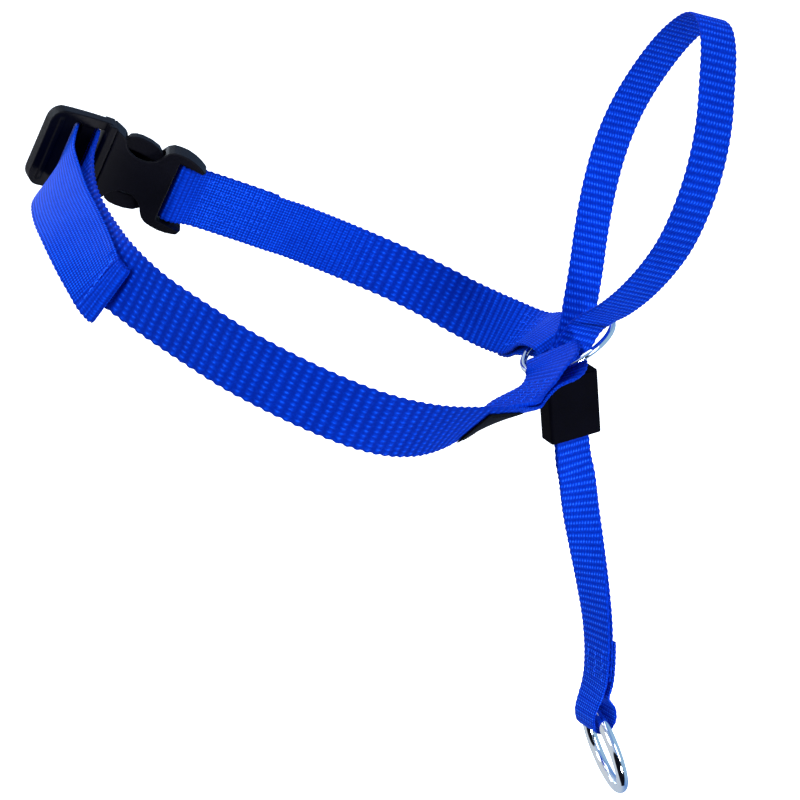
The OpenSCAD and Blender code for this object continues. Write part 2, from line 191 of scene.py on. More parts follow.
# centre ring
RING_R, RING_WIRE = 15.8, 1.1
ring_centre = V(86.5, 13, 16.6)
ring_normal = unit(V(-0.79, 0, 0.61))
front_pull = unit(V(0.122, 0.98, 0.158))
front_along = unit(V(0.598, -0.2, 0.774))
rear_pull = unit(V(0.238, -0.92, 0.308))
TURN_AT, STRAIGHT, FRONT_OPEN = 8.2, 9.4, 2.9
NECK_OPEN = RING_WIRE + 0.2 + NECK_T / 2
NECK_SHUT = (NECK_T + PLY_GAP) / 2
front_end = ring_centre - (TURN_AT + 0.5) * front_pull - 3.3 * front_along
rear_end = ring_centre - TURN_AT * rear_pull
front_twist = twist_for(front_pull, front_along)
rear_twist = twist_for(rear_pull, np.cross(ring_normal, rear_pull))

# buckle curve
BUCKLE_R, BUCKLE_FROM = 60, math.radians(124.5)
BUCKLE_C = V(-58, -8.5, 0)
BAR_S, SOCKET_BAR_S, SOCKET_BAR_R = 15, 50.5, 1.6
LADDER_BAR_R = 1.3
STRAP_LIFT = LADDER_BAR_R + 0.3 + NECK_T / 2


def buckle_place(s, out):
    """The point s along the buckle's curved middle and `out` from it."""
    a = BUCKLE_FROM - s / BUCKLE_R
    return BUCKLE_C + (BUCKLE_R + out) * V(math.cos(a), math.sin(a), 0)


def tw(v, t):
    """A route point at v with twist t."""
    return np.append(v, t)


tail_route = [
    [-59.5, -47.2, -4.5, 10], [-62.3, -43.8, -4, 14], [-66, -37.6, -2.5, 22], [-70.6, -28.4, -1, 32],
    [-75.4, -17, 0, 36], [-79.4, -4.5, 0, 34], [-82.2, 9, 0, 28], [-83.4, 22, 0, 14], [-82.6, 33, 0, 4],
]
wrap_route = [
    tw(buckle_place(BAR_S - 3.8, -0.5), 0), tw(buckle_place(BAR_S - 2.9, STRAP_LIFT - 0.1), 0),
    tw(buckle_place(BAR_S, STRAP_LIFT + 0.3), 0), tw(buckle_place(BAR_S + 2.9, STRAP_LIFT - 0.1), 0),
    tw(buckle_place(BAR_S + 3.8, -0.5), 0),
]
front_route = [
    [-75.5, 33, 0, -3], [-77, 22, 0, -14], [-77.6, 9, 0, -28], [-75.6, -4.5, 0, -34], [-71.8, -16, 0, -36],
    [-67.2, -26.5, 0, -32], [-62.6, -35, 0, -22], [-57, -42.4, 0, -12], [-51, -48.4, 0, -4],
    [-44, -54, 0, 0], [-31, -61.6, 0, 0], [-19, -67.4, 0, 0], [-6, -70.9, 0, 0], [6, -72.5, 0, 0],
    [19, -72.3, 0, 0], [31, -68.6, 0, 2], [42, -61, 0, 8], [52, -50.5, 0.3, 17], [60.5, -39.5, 0.8, 30],
    [67.5, -28, 0.8, 43], [73.2, -16.4, 2.4, 52], tw(front_end - 10 * front_pull, front_twist + 1),
    tw(front_end, front_twist),
]
rear_route = [
    tw(buckle_place(SOCKET_BAR_S, 0), 0), [-36, 52.8, 0, 0], [-22, 56.4, 0, 0], [-7, 59.4, 0, 0],
    [7, 61, 0, 0], [22, 61.6, 0, 0], [37, 61.2, 0, 0], [50, 58.8, 0, -3], [62, 55.4, 0, -9],
    [72, 49.6, 1.5, -19], [79, 41.5, 4.5, -29], tw(rear_end - 9 * rear_pull, rear_twist),
    tw(rear_end, rear_twist),
]
long_stations = gathered(stations(curve(tail_route + wrap_route + front_route, STEPS), UP, NECK_W),
                         GATHERED_W + 1)
long_lap = LAP_LEN + 5
long_front = lead(long_stations, 1, FRONT_OPEN, NECK_SHUT, STRAIGHT, long_lap, 0)
long_back = lap_back(long_stations, 1, FRONT_OPEN, NECK_SHUT, STRAIGHT, long_lap)
HEM_LEN, HEM_GAP, HEM_STEPS = 9, NECK_T + 0.25, 12
h0 = long_front[0]
hem = [turned(moved([h0[0] + HEM_LEN * k / HEM_STEPS * h0[1], h0[1], h0[2], h0[3], NECK_W], HEM_GAP))
       for k in range(HEM_STEPS, -1, -1)]
for a in range(75, -76, -15):
    a = math.radians(a)
    hem.append([h0[0] + HEM_GAP / 2 * ((1 + math.sin(a)) * h0[3] - math.cos(a) * h0[1]),
                -math.sin(a) * h0[1] - math.cos(a) * h0[3], h0[2],
                math.cos(a) * h0[1] - math.sin(a) * h0[3], NECK_W])
long_path = loop_world(hem + long_front + long_back)

short_stations = gathered(stations(curve(rear_route, STEPS), UP, NECK_W), GATHERED_W)
BAR_OPEN, BAR_STRAIGHT, BAR_LAP = SOCKET_BAR_R + 0.2 + NECK_T / 2, 0.2, 34
at_bar = (BAR_OPEN, NECK_SHUT, BAR_STRAIGHT, BAR_LAP)
short_mirror = [turned(s) for s in short_stations][::-1]
short_start = [turned(s) for s in lap_back(short_mirror, -1, *at_bar)][::-1]
short_from_bar = [turned(s) for s in lead(short_mirror, -1, *at_bar, 0)][::-1]
short_front = lead(short_from_bar, 1, NECK_OPEN, NECK_SHUT, STRAIGHT, LAP_LEN, 0)
short_back = lap_back(short_stations, 1, NECK_OPEN, NECK_SHUT, STRAIGHT, LAP_LEN)
short_path = loop_world(short_start + short_front + short_back)

# nose strap
nose_side = unit(V(0.9, 0.22, -0.38))
nose_up = unit(UP - nose_side[2] * nose_side)
nose_across = np.cross(nose_side, nose_up)
nose_base = V(86.8, 14, -24.7)


def from_nose(b, a):
    """A route point b across and a up the nose loop's own plane."""
    return tw(nose_base + b * nose_across + a * nose_up, 0)


CLAMP_TWIST = 23.6
CLAMP_TURN = math.radians(CLAMP_TWIST)
clamp_face = V(math.sin(CLAMP_TURN), -math.cos(CLAMP_TURN), 0)
NOSE_PLY = (NOSE_T + PLY_GAP) / 2
split = V(82.5, 12.1, -37.6)
STEM_TWIST = 10
ply = NOSE_PLY * clamp_face
far_leg = [
    tw(split - ply, STEM_TWIST), tw(split + V(0, 0, 1.5) - ply, STEM_TWIST),
    tw(split + V(0, 0.3, 4) - ply, -4),
    from_nose(-1.6, 0), from_nose(-4.2, 7), from_nose(-8.1, 17.5), from_nose(-13.6, 29.5),
    from_nose(-17.8, 42), from_nose(-19.6, 55), from_nose(-17.9, 67.5), from_nose(-12.8, 79.5),
    from_nose(-4.5, 92), from_nose(4, 101),
]
near_leg = [
    from_nose(14, 107.6), from_nose(23, 108), from_nose(31, 102.5), from_nose(38.5, 92),
    from_nose(45, 81), from_nose(48.4, 69), from_nose(48.6, 57), from_nose(45.8, 45),
    from_nose(39.5, 34), from_nose(30.4, 23.2), from_nose(20, 14), from_nose(9.6, 6.8), from_nose(3.4, 0.4),
    tw(split + V(0, 0.3, 4) + ply, 4), tw(split + V(0, 0, 1.5) + ply, -STEM_TWIST),
    tw(split + ply, -STEM_TWIST),
]
nose_loop = stations(curve(far_leg + near_leg, STEPS), nose_side, NOSE_W)

LEASH_TURN = math.radians(75)
LEASH_R, LEASH_WIRE = 14.5, 2
leash_axis = V(math.cos(LEASH_TURN), -math.sin(LEASH_TURN), 0)
LEASH_TILT = math.radians(9.5)
leash_hang = V(math.sin(LEASH_TILT) * math.sin(LEASH_TURN), math.sin(LEASH_TILT) * math.cos(LEASH_TURN),
               -math.cos(LEASH_TILT))
leash_top = V(84.8, 12, -167)
FOLD_TWIST = 58
FOLD_TURN = math.radians(FOLD_TWIST)
LEASH_OPEN, LEASH_STRAIGHT, LEASH_LAP = LEASH_WIRE + 2.15 + NOSE_T / 2, 1.4, 30
fold_out = V(-math.sin(FOLD_TURN), -math.cos(FOLD_TURN), 0)
leash_end = leash_top + V(0, 0, -0.3) + NOSE_PLY * fold_out
drop_route = [
    tw(split - V(0, 0, 0.35), -CLAMP_TWIST), [82.5, 12.1, -46, -CLAMP_TWIST],
    [82.5, 12.1, -55, -CLAMP_TWIST], [82.5, 12.1, -63, -CLAMP_TWIST], [82.7, 12, -70, -17],
    [83.4, 12, -76, -8], [84, 12, -88, 10], [85.2, 12, -102, 26], [86.4, 12, -116, 37],
    [87.2, 12, -130, 46], [87, 12, -142, 52], [86, 12, -152, 55],
    tw(leash_end + V(0, 0, 8), FOLD_TWIST), tw(leash_end, FOLD_TWIST),
]
LEASH_GATHERED_W, BACK_PLY_STOP = 11, 15
drop_stations = stations(curve(drop_route, STEPS), V(1, 0, 0), NOSE_W)
drop_middle = gathered([moved(s, -NOSE_PLY) for s in drop_stations], LEASH_GATHERED_W)
at_leash = (LEASH_OPEN, 2 * NOSE_PLY, LEASH_STRAIGHT, LEASH_LAP)
front_ply = lead(drop_middle, 1, *at_leash, 2 * NOSE_PLY) + lap_back(drop_middle, 1, *at_leash)
back_ply = [moved(s, -NOSE_PLY) for s in drop_stations if s[0][2] > leash_top[2] + BACK_PLY_STOP]
nose_path = [turned(s) for s in back_ply][::-1] + nose_loop + front_ply


# ---------------------------------------------------------------- webbing as woven mesh
def from_mesh(name, mesh):
    obj = bpy.data.objects.new(name, mesh)
    bpy.context.scene.collection.objects.link(obj)
    return obj


def resample(path, step):
    """Even steps along the path, with the directions eased and squared up again."""
    place = np.array([s[0] for s in path])
    gap = np.linalg.norm(np.diff(place, axis=0), axis=1)
    keep = np.concatenate([[True], gap > 1e-4])
    path = [s for s, k in zip(path, keep) if k]
    place = np.array([s[0] for s in path])
    across = np.array([s[2] for s in path])
    out = np.array([s[3] for s in path])
    width = np.array([s[4] for s in path])
    at = np.concatenate([[0], np.cumsum(np.linalg.norm(np.diff(place, axis=0), axis=1))])
    n = int(at[-1] / step)
    want = np.linspace(0, at[-1], n)
    pick = lambda a: np.stack([np.interp(want, at, a[:, k]) for k in range(3)], axis=1)
    place, across, out, width = pick(place), pick(across), pick(out), np.interp(want, at, width)
    soft = np.array([1, 2, 3, 2, 1.0]) / 9
    ease = lambda a: np.stack([np.convolve(np.pad(a[:, k], 2, mode="edge"), soft, "valid")
                               for k in range(3)], axis=1)
    across, out = ease(across), ease(out)
    across /= np.linalg.norm(across, axis=1)[:, None]
    out -= (out * across).sum(axis=1)[:, None] * across
    out /= np.linalg.norm(out, axis=1)[:, None]
    return want, place, across, out, width


def weave(turns, u, dot, plain, dots, face):
    """Height of the weave and its painted light and shade, 0 to 1, for the rib count `turns` along and u
    across:
    the rib crowns and thread beads are painted lighter and the grooves darker. Where plain is 1 the ribs
    are flattened, and dots is how far each rib breaks up into threads."""
    rib = (0.5 + 0.5 * np.cos(2 * np.pi * turns)) ** 0.7
    row = np.floor(turns + 0.5)
    stagger = 0.5 * (row % 2) + (0.25 if face < 0 else 0)
    bead = np.clip(np.cos(2 * np.pi * (u / dot + stagger)), 0, 1) ** 0.8
    bead = mix(0.75, bead, dots)
    ribs = 0.62 * rib + 0.38 * rib * bead
    # painted highlight on the rib crowns and beads, painted shade in the grooves between the ribs
    light = rib ** 2.4 * (0.25 + 0.75 * bead)
    return mix(ribs, 0.6, plain), mix(light, 0.36, plain)


RIM = 0.30
RIM_RISE, EDGE_DROP = 0.26, 0.22
# RIM_SHADE is the painted shade of the rounded selvedge, on the weave's 0 to 1 scale
RIM_SHADE = 0.12


def webbing(name, path, thick, dot, relief, step, columns, zones, scallop=0.22):
    """A woven band along the path, with raised ribs, thread beads and a scalloped, rounded selvedge.
    zones are [distance along, rib pitch, plain, dots], and a negative distance counts from the end."""
    s, place, across, out, width = resample(path, step)
    n = len(s)
    z = np.array([[x if x >= 0 else s[-1] + x, *rest] for x, *rest in zones])
    pitch, plain, dots = (np.interp(s, z[:, 0], z[:, k]) for k in (1, 2, 3))
    turns = np.concatenate([[0], np.cumsum(np.diff(s) / pitch[1:])])
    wave = np.cos(2 * np.pi * turns)
    half = width / 2 + scallop * wave * (1 - 0.5 * plain) - scallop
    rings, shades, uv = [], [], []
    for face in (1, -1):
        for x in np.linspace(-1, 1, columns)[::face]:
            inset = x * (half - RIM)
            high, light = weave(turns, inset, dot, plain, dots, face)
            edge = np.clip((1 - abs(x)) * 9, 0, 1) ** 0.6
            lift = face * (thick / 2 - relief * (1 - high) * edge - EDGE_DROP * thick * (1 - edge))
            rings.append(place + inset[:, None] * across + lift[:, None] * out)
            # painted shade: the face is darkened towards the selvedge, where it rounds away
            shades.append(light * (0.35 + 0.65 * edge))
            uv.append((s, inset))
        for level in (0.75, 0.0, -0.75):
            x = face * (half - RIM + RIM * math.cos(level * math.pi / 2.4))
            rings.append(place + x[:, None] * across + face * level * RIM_RISE * thick * out)
            # painted shade on the rounded selvedge, a little lighter and darker with its scallops
            shades.append(RIM_SHADE + 0.1 * wave)
            uv.append((s, x))
    m = len(rings)
    verts = np.stack(rings, axis=1).reshape(-1, 3) * MM
    shade = np.clip(np.stack(shades, axis=1).reshape(-1), 0, 1)
    us = np.stack([a for a, b in uv], axis=1).reshape(-1)
    vs = np.stack([np.broadcast_to(b, (n,)) for a, b in uv], axis=1).reshape(-1)
    i, k = np.meshgrid(np.arange(n - 1), np.arange(m), indexing="ij")
    k2 = (k + 1) % m
    quads = np.stack([i * m + k, i * m + k2, (i + 1) * m + k2, (i + 1) * m + k], axis=-1).reshape(-1, 4)
    # closed ends: the two faces are joined row by row
    ends = []
    for base in (0, (n - 1) * m):
        for c in range(m // 2):
            a, b = base + c, base + c + 1
            d, e = base + m - 1 - c, base + m - 2 - c
            quad = [a, b, e, d] if base else [d, e, b, a]
            if len(set(quad)) == 4:
                ends.append(quad)
    mesh = bpy.data.meshes.new(name)
    mesh.from_pydata(verts.tolist(), [], quads.tolist() + ends)
    mesh.validate()
    # the weave attribute carries the painted light and shade of the faces and selvedge, which the material
    # turns into colour
    for key, values in (("weave", shade), ("plain", np.repeat(plain, m)), ("turns", np.repeat(turns, m))):
        mesh.attributes.new(key, "FLOAT", "POINT").data.foreach_set("value", values.astype(np.float32))
    layer = mesh.uv_layers.new(name="UVMap")
    loops = np.empty(len(mesh.loops), int)
    mesh.loops.foreach_get("vertex_index", loops)
    coords = np.stack([us[loops], vs[loops]], axis=1).astype(np.float32).reshape(-1)
    layer.data.foreach_set("uv", coords)
    mesh.shade_smooth()
    return from_mesh(name, mesh)


# ---------------------------------------------------------------- materials
def material(name):
    mat = bpy.data.materials.new(name)
    mat.use_nodes = True
    nodes, links = mat.node_tree.nodes, mat.node_tree.links
    nodes.clear()
    out = nodes.new("ShaderNodeOutputMaterial")
    bsdf = nodes.new("ShaderNodeBsdfPrincipled")
    links.new(bsdf.outputs[0], out.inputs[0])
    return mat, nodes, links, bsdf


def noise(nodes, links, source, scale, detail=3, rough=0.6):
    n = nodes.new("ShaderNodeTexNoise")
    n.inputs["Scale"].default_value = scale
    n.inputs["Detail"].default_value = detail
    n.inputs["Roughness"].default_value = rough
    links.new(source, n.inputs["Vector"])
    return n.outputs["Fac"]


def maths(nodes, links, op, a, b=None, clamp=False):
    n = nodes.new("ShaderNodeMath")
    n.operation = op
    n.use_clamp = clamp
    for k, x in enumerate((a, b)):
        if x is None:
            continue
        if isinstance(x, (int, float)):
            n.inputs[k].default_value = x
        else:
            links.new(x, n.inputs[k])
    return n.outputs[0]


def arithmetic(nodes, links):
    """Add, subtract, multiply and sine, each as a function that makes its node."""
    return [lambda a, b=None, op=op: maths(nodes, links, op, a, b)
            for op in ("ADD", "SUBTRACT", "MULTIPLY", "SINE")]


def attribute(nodes, key):
    n = nodes.new("ShaderNodeAttribute")
    n.attribute_name = key
    return n.outputs["Fac"]


def ramp(nodes, links, source, stops):
    n = nodes.new("ShaderNodeValToRGB")
    while len(n.color_ramp.elements) < len(stops):
        n.color_ramp.elements.new(0.5)
    for e, (pos, col) in zip(n.color_ramp.elements, stops):
        e.position = pos
        e.color = (*col, 1)
    links.new(source, n.inputs[0])
    return n.outputs[0]


def bump(nodes, links, height, strength, distance):
    n = nodes.new("ShaderNodeBump")
    n.inputs["Strength"].default_value = strength
    n.inputs["Distance"].default_value = distance
    links.new(height, n.inputs["Height"])
    return n.outputs[0]


def multiplied(nodes, links, a, b):
    """One colour times the other."""
    n = nodes.new("ShaderNodeMix")
    n.data_type = "RGBA"
    n.blend_type = "MULTIPLY"
    n.inputs["Factor"].default_value = 1
    for key, colour in (("A", a), ("B", b)):
        links.new(colour, [i for i in n.inputs if i.name == key and i.type == "RGBA"][0])
    return [o for o in n.outputs if o.type == "RGBA"][0]


# FINE_LIGHT is how strongly the fine checks of the plain weave are painted lighter and darker
FINE_PITCH, FINE_LIGHT = 1.9, 1.1
YARN_SLANT, FLECK = 0.35, 0.6


def webbing_material(name, deep, mid, light, yarn, dash, dash_depth):
    """Nylon webbing: the colour is painted light and shade that follows the raised weave, lighter on the
    ribs, beads and fine checks and darker between them and in the slanting thread dashes of each rib, with
    twisted yarn lines and soft variation in tone. yarn is the lines' closeness and dash the dashes' spacing
    in mm."""
    mat, nodes, links, bsdf = material(name)
    add, less, times, sine = arithmetic(nodes, links)
    painted_weave_light, plain, turns = (attribute(nodes, key) for key in ("weave", "plain", "turns"))
    uv = nodes.new("ShaderNodeUVMap")
    uv.uv_map = "UVMap"
    sep = nodes.new("ShaderNodeSeparateXYZ")
    links.new(uv.outputs[0], sep.inputs[0])
    along, across = sep.outputs[0], sep.outputs[1]
    lines = times(add(sine(times(add(across, times(along, YARN_SLANT)), yarn)), 1.0), 0.5)
    geo = nodes.new("ShaderNodeTexCoord").outputs["Object"]
    patch = noise(nodes, links, geo, 90, 3)
    grain = noise(nodes, links, geo, 1500, 2)
    turn = 2 * math.pi / FINE_PITCH
    leaning = [sine(times(slant, turn)) for slant in (add(along, across), less(along, across))]
    fine = times(times(*leaning), plain)
    dashes = sine(add(times(across, 2 * math.pi / dash), times(turns, math.pi)))
    cut = add(times(dashes, dash_depth / 2), 1 - dash_depth / 2)
    # painted light and shade of the weave: the weave attribute, darkened in the thread dashes, plus the
    # fine checks painted lighter and darker
    woven = add(times(painted_weave_light, cut), times(fine, FINE_LIGHT))
    fac = maths(nodes, links, "ADD", woven, times(less(grain, 0.5), FLECK), clamp=True)
    # deep, mid and light are the shaded, middle and lit tones of the painted weave; the grain flecks and
    # patch tint are random tone
    col = ramp(nodes, links, fac, [(0.0, deep), (0.42, mid), (1.0, light)])
    tint = ramp(nodes, links, patch, [(0.3, (0.86, 0.88, 0.9)), (0.7, (1.08, 1.06, 1.04))])
    col = multiplied(nodes, links, col, tint)
    links.new(col, bsdf.inputs["Base Color"])
    bsdf.inputs["Roughness"].default_value = 0.62
    bsdf.inputs["Specular IOR Level"].default_value = 0.06
    bsdf.inputs["Specular Tint"].default_value = (0.25, 0.5, 1, 1)
    bsdf.inputs["Sheen Weight"].default_value = 0.04
    bsdf.inputs["Sheen Roughness"].default_value = 0.5
    bsdf.inputs["Sheen Tint"].default_value = (0.05, 0.3, 1, 1)
    height = add(add(times(lines, 0.5), add(times(grain, 0.5), fine)), times(dashes, dash_depth))
    links.new(bump(nodes, links, height, strength=0.5, distance=0.00012), bsdf.inputs["Normal"])
    return mat


def plastic_material(name, colour, rough, grain_scale, grain, gloss):
    """Moulded plastic: fine spark-eroded grain over soft blotches."""
    mat, nodes, links, bsdf = material(name)
    geo = nodes.new("ShaderNodeTexCoord").outputs["Object"]
    fine = noise(nodes, links, geo, grain_scale, 2, 0.7)
    broad = noise(nodes, links, geo, 110, 3)
    dark = tuple(c * 0.75 for c in colour)
    pale = tuple(c * 1.5 for c in colour)
    add, _, times, _ = arithmetic(nodes, links)
    both = add(times(broad, 0.4), times(fine, 0.6))
    col = ramp(nodes, links, both, [(0.35, dark), (0.65, pale)])
    links.new(col, bsdf.inputs["Base Color"])
    r = ramp(nodes, links, fine, [(0.3, (rough - 0.07,) * 3), (0.7, (rough + 0.08,) * 3)])
    links.new(r, bsdf.inputs["Roughness"])
    bsdf.inputs["Specular IOR Level"].default_value = gloss
    links.new(bump(nodes, links, fine, strength=grain, distance=0.00008), bsdf.inputs["Normal"])
    return mat


def metal_material(name, colour, rough):
    """Polished wire with faint smears."""
    mat, nodes, links, bsdf = material(name)
    geo = nodes.new("ShaderNodeTexCoord").outputs["Object"]
    fine = noise(nodes, links, geo, 900, 4, 0.7)
    broad = noise(nodes, links, geo, 160, 2)
    col = ramp(nodes, links, broad, [(0.3, tuple(c * 0.94 for c in colour)), (0.7, colour)])
    links.new(col, bsdf.inputs["Base Color"])
    bsdf.inputs["Metallic"].default_value = 1
    r = ramp(nodes, links, fine, [(0.35, (rough * 0.7,) * 3), (0.75, (rough * 1.7,) * 3)])
    links.new(r, bsdf.inputs["Roughness"])
    links.new(bump(nodes, links, broad, strength=0.05, distance=0.0002), bsdf.inputs["Normal"])
    return mat


def cloth_material(name, colour, scale):
    """Matt thread or cloth with a fine grain."""
    mat, nodes, links, bsdf = material(name)
    geo = nodes.new("ShaderNodeTexCoord").outputs["Object"]
    grain = noise(nodes, links, geo, scale, 3, 0.7)
    col = ramp(nodes, links, grain, [(0.3, tuple(c * 0.6 for c in colour)),
                                     (0.7, tuple(c * 1.5 for c in colour))])
    links.new(col, bsdf.inputs["Base Color"])
    bsdf.inputs["Roughness"].default_value = 0.7
    bsdf.inputs["Specular IOR Level"].default_value = 0.05
    bsdf.inputs["Sheen Weight"].default_value = 0.01
    links.new(bump(nodes, links, grain, strength=0.4, distance=0.0001), bsdf.inputs["Normal"])
    return mat


# deep, mid and light: each webbing's shaded, middle and lit tones for its painted weave light and shade
NECK_MAT = webbing_material("neck_webbing_weave", (0.0004, 0.018, 0.32), (0.0006, 0.040, 0.57),
                            (0.006, 0.115, 1.0), yarn=17, dash=0.81, dash_depth=0.3)
NOSE_MAT = webbing_material("nose_webbing_weave", (0.0004, 0.020, 0.37), (0.0006, 0.050, 0.70),
                            (0.032, 0.20, 1.0), yarn=19, dash=0.95, dash_depth=0.8)
THREAD_MAT = cloth_material("thread_blue", (0.012, 0.12, 0.95), 2500)
LABEL_MAT = cloth_material("label_black", (0.0006, 0.0006, 0.0010), 2200)
BUCKLE_MAT = plastic_material("buckle_plastic_grain", (0.0024, 0.0024, 0.0046), rough=0.46,
                              grain_scale=2600, grain=0.35, gloss=0.07)
CLAMP_MAT = plastic_material("clamp_plastic_grain", (0.0012, 0.0012, 0.0032), rough=0.7,
                             grain_scale=900, grain=1.0, gloss=0.02)
CHROME_MAT = metal_material("ring_chrome", (0.84, 0.91, 1.0), 0.06)
PIN_MAT = metal_material("pin_steel", (0.55, 0.55, 0.57), 0.25)


def dress(obj, mat, body, nodes):
    """Gives the piece its material and body. A piece that blends has no body of its own here."""
    obj.data.materials.clear()
    obj.data.materials.append(mat)
    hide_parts(*nodes)
    if body:
        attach(obj, body)


# ---------------------------------------------------------------- the straps
NECK_STEP, NOSE_STEP = ((0.42, 0.34))
NECK_COLS, NOSE_COLS = ((60, 42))
LONG_ZONES = [
    (0, 1.6, 0.2, 0.4), (17, 1.6, 0.2, 0.4), (20, 2.4, 1, 1), (116, 3.2, 1, 1), (132, 3.2, 0, 1),
    (-104, 3.2, 0, 1), (-84, 2.6, 0.7, 0.6), (-64, 1.8, 0.6, 0.5), (-55, 1.7, 0.1, 0.4),
    (-1, 1.7, 0.1, 0.4),
]
SHORT_ZONES = [
    (0, 3.2, 0.7, 0.6), (43, 1.7, 0.2, 0.7), (48, 1.7, 0.4, 0.7), (52, 2.4, 0.8, 0.5), (74, 1.8, 0.6, 0.6),
    (100, 1.9, 0.35, 0.8), (118, 3.2, 0, 1), (-88, 3.2, 0, 1), (-74, 2.2, 0.15, 0.2),
    (-52, 2.0, 0.3, 0.2), (-1, 2.2, 0.7, 0.4),
]
NOSE_ZONES = [(0, 2.4, 0.05, 0), (-78, 2.4, 0.05, 0), (-62, 2.1, 0.5, 0), (-1, 2.1, 0.5, 0)]
NECK_BEAD, NOSE_BEAD = 1.62, 1.38
NECK_RELIEF, NOSE_RELIEF = 0.34, 0.3
neck_long = webbing("neck_strap_long_webbing", long_path, NECK_T, NECK_BEAD, NECK_RELIEF, NECK_STEP,
                    NECK_COLS, LONG_ZONES)
neck_short = webbing("neck_strap_short_webbing", short_path, NECK_T, NECK_BEAD, NECK_RELIEF, NECK_STEP,
                     NECK_COLS, SHORT_ZONES)
nose_strap = webbing("nose_and_drop_webbing", nose_path, NOSE_T, NOSE_BEAD, NOSE_RELIEF, NOSE_STEP,
                     NOSE_COLS, NOSE_ZONES, scallop=0.13)
dress(neck_long, NECK_MAT, None, ["long_neck_strap"])
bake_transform(neck_long)
dress(neck_short, NECK_MAT, "collar", ["short_neck_strap"])
dress(nose_strap, NOSE_MAT, None,
      ["nose_loop_strap", "drop_strap_front", "drop_strap_back"])
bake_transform(nose_strap)


# ---------------------------------------------------------------- moulded pieces
def bake(obj):
    """Applies the object's modifiers."""
    bpy.context.view_layer.update()
    got = obj.evaluated_get(bpy.context.evaluated_depsgraph_get())
    mesh = bpy.data.meshes.new_from_object(got)
    obj.modifiers.clear()
    obj.data = mesh


def moulded(name, node, voxel, rounds):
    """Copies a CAD node and rounds its edges as a mould does."""
    bm = bmesh.new()
    bm.from_mesh(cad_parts[node].data)
    mesh = bpy.data.meshes.new(name)
    bm.to_mesh(mesh)
    bm.free()
    obj = from_mesh(name, mesh)
    m = obj.modifiers.new("voxels", "REMESH")
    m.mode = "VOXEL"
    m.voxel_size = voxel * MM
    m.use_smooth_shade = True
    s = obj.modifiers.new("soft_edges", "SMOOTH")
    s.factor = 0.5
    s.iterations = rounds
    bake(obj)
    obj.data.shade_smooth()
    return obj


VOX = 0.24
for name, node, body, mat, slot, voxel, rounds in (
        ("buckle_socket_shell", "buckle_socket", "collar", BUCKLE_MAT, "buckle_plastic", VOX, 5),
        ("buckle_plug_frame", "buckle_plug", "plug", BUCKLE_MAT, "buckle_plastic", VOX, 5),
        ("buckle_arm_upper", "plug_arm_upper", "arm_upper", BUCKLE_MAT, "buckle_plastic", VOX * 0.8, 5),
        ("buckle_arm_lower", "plug_arm_lower", "arm_lower", BUCKLE_MAT, "buckle_plastic", VOX * 0.8, 5),
        ("nose_clamp_sleeve", "clamp_sleeve", "clamp", CLAMP_MAT, "clamp_plastic", VOX, 5),
        ("nose_clamp_lever", "clamp_lever", "lever", CLAMP_MAT, "clamp_plastic", VOX, 4)):
    dress(moulded(name, node, voxel, rounds), mat, body, [node])
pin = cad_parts["clamp_pin"]
pin.data.materials.clear()
pin.data.materials.append(PIN_MAT)


# ---------------------------------------------------------------- rings
WELD_RISE, WELD_SPREAD, WELD_GROOVE = 0.05, 0.9, 0.22


def wire_ring(name, centre, facing, radius, wire, weld_at):
    """Bent wire with a faint weld where its ends meet."""
    facing = unit(facing)
    side = unit(np.cross(facing, V(0.3, 0.2, 0.9)))
    up = np.cross(facing, side)
    major, minor = 220, 36
    verts = []
    for i in range(major):
        a = 2 * math.pi * i / major
        spoke = math.cos(a) * side + math.sin(a) * up
        off = (a - weld_at + math.pi) % (2 * math.pi) - math.pi
        near = off * radius
        weld = math.exp(-(near / WELD_SPREAD) ** 2) - math.exp(-(near / WELD_GROOVE) ** 2)
        fat = wire * (1 + WELD_RISE * weld)
        for k in range(minor):
            b = 2 * math.pi * k / minor
            verts.append(centre + radius * spoke + fat * (math.cos(b) * spoke + math.sin(b) * facing))
    faces = [[i * minor + k, ((i + 1) % major) * minor + k, ((i + 1) % major) * minor + (k + 1) % minor,
              i * minor + (k + 1) % minor] for i in range(major) for k in range(minor)]
    mesh = bpy.data.meshes.new(name)
    mesh.from_pydata((np.array(verts) * MM).tolist(), [], faces)
    mesh.shade_smooth()
    return from_mesh(name, mesh)


ring = wire_ring("centre_ring_wire", from_loop(ring_centre), from_loop(ring_normal), RING_R, RING_WIRE, 2.6)
dress(ring, CHROME_MAT, "ring", ["centre_ring"])
leash = wire_ring("leash_ring_wire", leash_top + LEASH_R * leash_hang,
                  np.cross(leash_axis, leash_hang), LEASH_R, LEASH_WIRE, 0.6)
dress(leash, CHROME_MAT, "lead_ring", ["leash_ring"])


# ---------------------------------------------------------------- sewing
def thread_mesh(runs, radius, sides=7):
    """One mesh of many short threads; each run is a list of points."""
    verts, faces = [], []
    for run in runs:
        run = np.array(run)
        n = len(run)
        base = len(verts)
        for i in range(n):
            along = unit(run[min(i + 1, n - 1)] - run[max(i - 1, 0)])
            a = unit(np.cross(along, V(0.31, 0.52, 0.79)))
            b = np.cross(along, a)
            size = radius * (0.55 if i in (0, n - 1) else 1)
            for k in range(sides):
                t = 2 * math.pi * k / sides
                verts.append(run[i] + size * (math.cos(t) * a + math.sin(t) * b))
        for i in range(n - 1):
            for k in range(sides):
                k2 = (k + 1) % sides
                faces.append([base + i * sides + k, base + i * sides + k2, base + (i + 1) * sides + k2,
                              base + (i + 1) * sides + k])
        faces.append([base + k for k in range(sides)][::-1])
        faces.append([base + (n - 1) * sides + k for k in range(sides)])
    mesh = bpy.data.meshes.new("thread")
    mesh.from_pydata((np.array(verts) * MM).tolist(), [], faces)
    mesh.shade_smooth()
    return mesh


